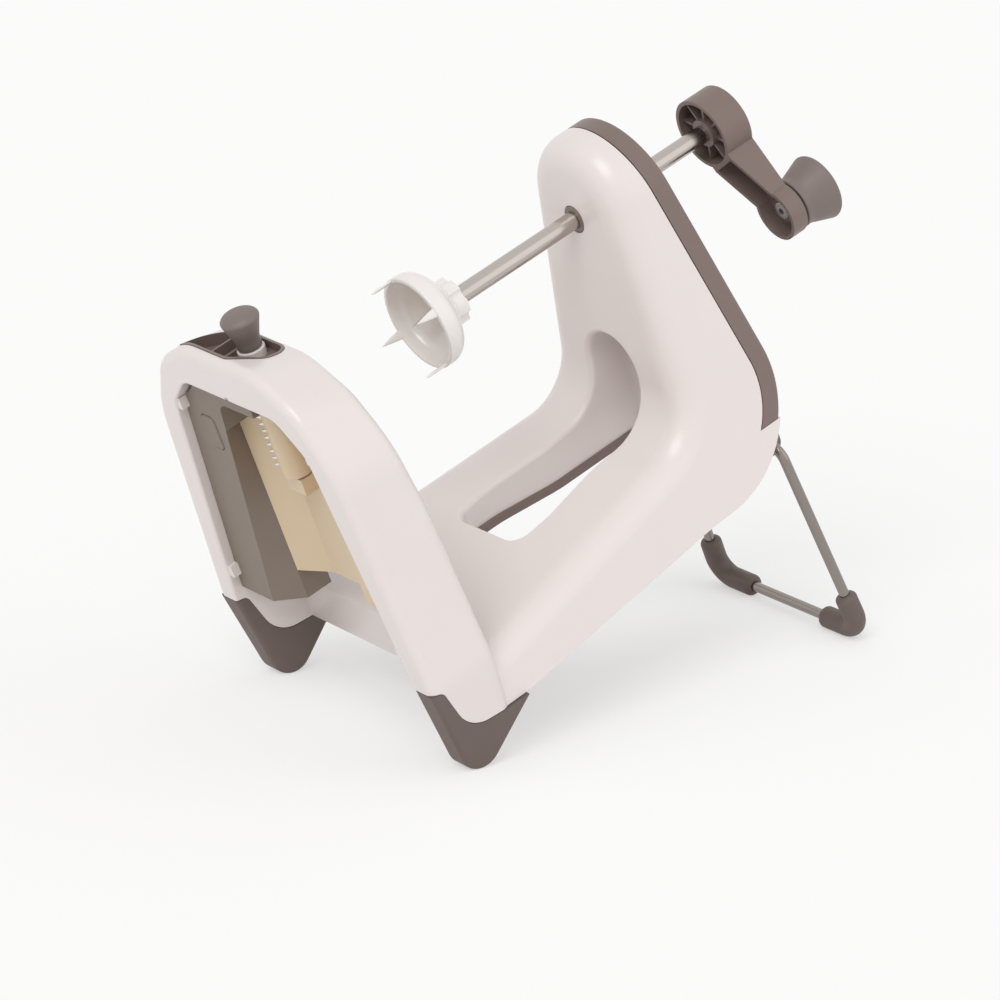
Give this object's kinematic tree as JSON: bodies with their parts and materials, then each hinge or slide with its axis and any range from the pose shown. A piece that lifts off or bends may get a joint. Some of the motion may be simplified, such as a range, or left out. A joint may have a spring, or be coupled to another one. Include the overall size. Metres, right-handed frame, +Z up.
{
  "type": "hand cranked spiral slicer",
  "caption": "Crank spiral slicer: blade arch and slotted base leaning on a wire stand, sliding crank shaft with pronged food cup, blade selector knob.",
  "frame": {"origin": "on the floor, under the middle of the bounding box", "axes": "+X from the blade arch towards the crank, +Y across to the far side, +Z up; the machine leans back on its stand"},
  "size_m": [0.3866, 0.1958, 0.3099],
  "materials": {
    "white_plastic": "satin moulded",
    "cup_plastic": "glossy moulded",
    "cream_plastic": "satin moulded",
    "grey_plastic": "fine matte moulded",
    "cartridge_plastic": "fine matte moulded",
    "knob_plastic": "fine matte moulded",
    "foot_rubber": "matte",
    "steel": "polished",
    "blade_steel": "ground",
    "screw_steel": "plated"
  },
  "bodies": {
    "frame": {"main_housing": "white_plastic", "rear_cover": "grey_plastic", "rear_cover_screws": "screw_steel", "base_cover": "grey_plastic", "base_cover_screws": "screw_steel", "foot_near": "foot_rubber", "foot_far": "foot_rubber", "top_tray": "grey_plastic", "selector_collar": "white_plastic", "stand_bracket_near": "grey_plastic", "stand_bracket_far": "grey_plastic"},
    "sleeve": {"bearing_sleeve": "grey_plastic"},
    "crank": {"drive_shaft": "steel", "crank_arm": "grey_plastic", "hub_screw": "grey_plastic", "knob_axle": "screw_steel", "food_holder": "cup_plastic", "holder_collar": "cup_plastic", "centre_spike": "blade_steel", "holder_pin": "screw_steel"},
    "knob": {"crank_knob": "knob_plastic", "knob_cap": "knob_plastic"},
    "kickstand": {"stand_wire": "steel", "stand_foot_near": "foot_rubber", "stand_foot_far": "foot_rubber"},
    "cartridge": {"cartridge_frame": "cartridge_plastic", "blade_plate": "cream_plastic", "straight_blade": "blade_steel", "blade_screws": "screw_steel", "button_spring": "screw_steel"},
    "button": {"release_button": "cartridge_plastic"},
    "drum": {"blade_drum": "cream_plastic", "coarse_teeth": "blade_steel", "fine_teeth": "blade_steel"},
    "selector": {"selector_knob": "knob_plastic"}
  },
  "joints": [
    {"name": "shaft_turn", "type": "hinge", "parent": "frame", "child": "sleeve", "pos_m": [0.05515, 0, 0.25952], "axis": [0.929, 0, 0.3702], "continuous": true},
    {"name": "shaft_slide", "type": "slide", "parent": "sleeve", "child": "crank", "axis": [0.929, 0, 0.3702], "range_m": [-0.0475, 0.077]},
    {"name": "knob_turn", "type": "hinge", "parent": "crank", "child": "knob", "pos_m": [0.1611, -0.03249, 0.25028], "axis": [0.929, 0, 0.3702], "continuous": true},
    {"name": "stand_fold", "type": "hinge", "parent": "frame", "child": "kickstand", "pos_m": [0.13407, 0, 0.11874], "axis": [0, 1, 0], "range_deg": [0, 75]},
    {"name": "cartridge_slide", "type": "slide", "parent": "frame", "child": "cartridge", "axis": [-0.929, 0, -0.3702], "range_m": [0, 0.06]},
    {"name": "selector_turn", "type": "hinge", "parent": "frame", "child": "selector", "pos_m": [-0.17423, 0, 0.22195], "axis": [-0.3702, 0, 0.929], "range_deg": [0, 240]},
    {"name": "drum_turn", "type": "hinge", "parent": "cartridge", "child": "drum", "pos_m": [-0.15573, 0, 0.1755], "axis": [-0.3702, 0, 0.929], "range_deg": [0, 240]},
    {"name": "button_press", "type": "slide", "parent": "cartridge", "child": "button", "axis": [0.929, 0, 0.3702], "range_m": [0, 0.002], "stiffness_N_per_m": 500, "springref_m": -0.001, "deforming": ["button_spring"]}
  ],
  "couplings": [
    {"joint": "drum_turn", "follows": "selector_turn", "ratio": 1}
  ]
}
